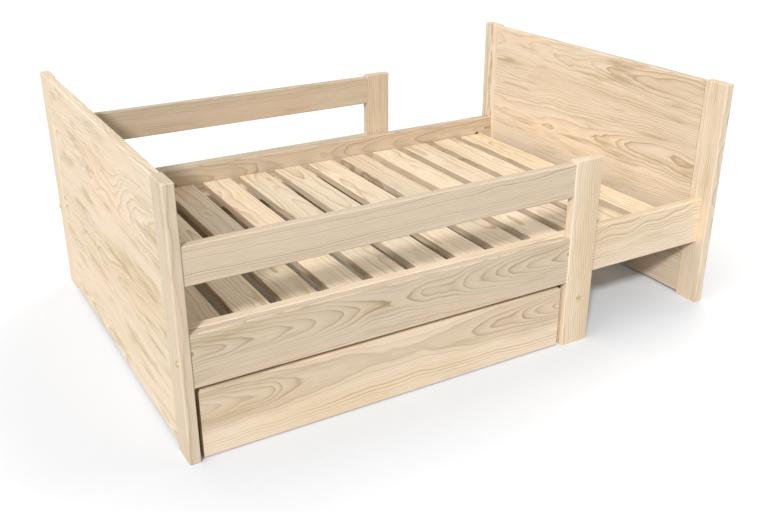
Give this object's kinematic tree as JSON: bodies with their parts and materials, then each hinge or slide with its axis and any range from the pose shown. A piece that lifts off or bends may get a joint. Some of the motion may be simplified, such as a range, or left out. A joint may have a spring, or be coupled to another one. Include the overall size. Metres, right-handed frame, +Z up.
{
  "type": "extendable bed with drawer",
  "caption": "Extendable wooden child's bed with panel ends, guard rails, a sliding foot section whose slats spread apart, and a roll-out drawer on castors.",
  "frame": {"origin": "on the floor, at the centre of the bed's footprint with the foot section pushed in", "axes": "+X along the bed from head to foot, -Y out of the drawer side, +Z up"},
  "size_m": [1.48, 1.026, 0.607],
  "materials": {
    "pine": "planed, untreated",
    "drawer_board": "sanded plywood",
    "zinc_bolt": "yellow zinc plated",
    "steel": "bright zinc plated",
    "castor_nylon": "moulded nylon"
  },
  "bodies": {
    "bed_frame": {"head_panel": "pine", "head_post_front": "pine", "head_post_rear": "pine", "middle_post_front": "pine", "middle_post_rear": "pine", "side_rail_front": "pine", "side_rail_rear": "pine", "guard_rail_front": "pine", "guard_rail_rear": "pine", "cross_rail": "pine", "head_cleat": "pine", "slat_bearer_front": "pine", "slat_bearer_rear": "pine", "slat_01": "pine", "frame_bolts": "zinc_bolt", "frame_barrel_nuts": "steel"},
    "extension": {"foot_panel": "pine", "foot_post_front": "pine", "foot_post_rear": "pine", "extension_rail_front": "pine", "extension_rail_rear": "pine", "slat_ledge_front": "pine", "slat_ledge_rear": "pine", "slat_12": "pine", "extension_bolts": "zinc_bolt", "extension_barrel_nuts": "steel"},
    "drawer": {"drawer_front": "pine", "drawer_side_head": "pine", "drawer_side_foot": "pine", "drawer_back": "pine", "drawer_bottom": "drawer_board", "castor_forks": "steel", "castor_axles": "steel"},
    "slat_02": {"slat_02": "pine"},
    "slat_03": {"slat_03": "pine"},
    "slat_04": {"slat_04": "pine"},
    "slat_05": {"slat_05": "pine"},
    "slat_06": {"slat_06": "pine"},
    "slat_07": {"slat_07": "pine"},
    "slat_08": {"slat_08": "pine"},
    "slat_09": {"slat_09": "pine"},
    "slat_10": {"slat_10": "pine"},
    "slat_11": {"slat_11": "pine"},
    "castor_wheel_front_head": {"castor_wheel_front_head": "castor_nylon"},
    "castor_wheel_front_foot": {"castor_wheel_front_foot": "castor_nylon"},
    "castor_wheel_rear_head": {"castor_wheel_rear_head": "castor_nylon"},
    "castor_wheel_rear_foot": {"castor_wheel_rear_foot": "castor_nylon"}
  },
  "joints": [
    {"name": "extension_slide", "type": "slide", "parent": "bed_frame", "child": "extension", "axis": [1, 0, 0], "range_m": [0, 0.5]},
    {"name": "drawer_slide", "type": "slide", "parent": "bed_frame", "child": "drawer", "axis": [0, -1, 0], "range_m": [0, 0.75]},
    {"name": "slat_02_slide", "type": "slide", "parent": "bed_frame", "child": "slat_02", "axis": [1, 0, 0], "range_m": [0, 0.04546]},
    {"name": "slat_03_slide", "type": "slide", "parent": "bed_frame", "child": "slat_03", "axis": [1, 0, 0], "range_m": [0, 0.09091]},
    {"name": "slat_04_slide", "type": "slide", "parent": "bed_frame", "child": "slat_04", "axis": [1, 0, 0], "range_m": [0, 0.13637]},
    {"name": "slat_05_slide", "type": "slide", "parent": "bed_frame", "child": "slat_05", "axis": [1, 0, 0], "range_m": [0, 0.18182]},
    {"name": "slat_06_slide", "type": "slide", "parent": "bed_frame", "child": "slat_06", "axis": [1, 0, 0], "range_m": [0, 0.22728]},
    {"name": "slat_07_slide", "type": "slide", "parent": "bed_frame", "child": "slat_07", "axis": [1, 0, 0], "range_m": [0, 0.27273]},
    {"name": "slat_08_slide", "type": "slide", "parent": "bed_frame", "child": "slat_08", "axis": [1, 0, 0], "range_m": [0, 0.31819]},
    {"name": "slat_09_slide", "type": "slide", "parent": "bed_frame", "child": "slat_09", "axis": [1, 0, 0], "range_m": [0, 0.36364]},
    {"name": "slat_10_slide", "type": "slide", "parent": "bed_frame", "child": "slat_10", "axis": [1, 0, 0], "range_m": [0, 0.4091]},
    {"name": "slat_11_slide", "type": "slide", "parent": "bed_frame", "child": "slat_11", "axis": [1, 0, 0], "range_m": [0, 0.45455]},
    {"name": "castor_wheel_front_head_spin", "type": "hinge", "parent": "drawer", "child": "castor_wheel_front_head", "pos_m": [-0.594, -0.417, 0.018], "axis": [1, 0, 0], "continuous": true},
    {"name": "castor_wheel_front_foot_spin", "type": "hinge", "parent": "drawer", "child": "castor_wheel_front_foot", "pos_m": [0.121, -0.417, 0.018], "axis": [1, 0, 0], "continuous": true},
    {"name": "castor_wheel_rear_head_spin", "type": "hinge", "parent": "drawer", "child": "castor_wheel_rear_head", "pos_m": [-0.594, 0.398, 0.018], "axis": [1, 0, 0], "continuous": true},
    {"name": "castor_wheel_rear_foot_spin", "type": "hinge", "parent": "drawer", "child": "castor_wheel_rear_foot", "pos_m": [0.121, 0.398, 0.018], "axis": [1, 0, 0], "continuous": true}
  ],
  "couplings": [
    {"joint": "slat_02_slide", "follows": "extension_slide", "ratio": 0.090909},
    {"joint": "slat_03_slide", "follows": "extension_slide", "ratio": 0.18182},
    {"joint": "slat_04_slide", "follows": "extension_slide", "ratio": 0.27273},
    {"joint": "slat_05_slide", "follows": "extension_slide", "ratio": 0.36364},
    {"joint": "slat_06_slide", "follows": "extension_slide", "ratio": 0.45454},
    {"joint": "slat_07_slide", "follows": "extension_slide", "ratio": 0.54546},
    {"joint": "slat_08_slide", "follows": "extension_slide", "ratio": 0.63636},
    {"joint": "slat_09_slide", "follows": "extension_slide", "ratio": 0.72727},
    {"joint": "slat_10_slide", "follows": "extension_slide", "ratio": 0.81818},
    {"joint": "slat_11_slide", "follows": "extension_slide", "ratio": 0.90909},
    {"joint": "castor_wheel_front_head_spin", "follows": "drawer_slide", "rad_per_m": 55.556},
    {"joint": "castor_wheel_front_foot_spin", "follows": "drawer_slide", "rad_per_m": 55.556},
    {"joint": "castor_wheel_rear_head_spin", "follows": "drawer_slide", "rad_per_m": 55.556},
    {"joint": "castor_wheel_rear_foot_spin", "follows": "drawer_slide", "rad_per_m": 55.556}
  ]
}
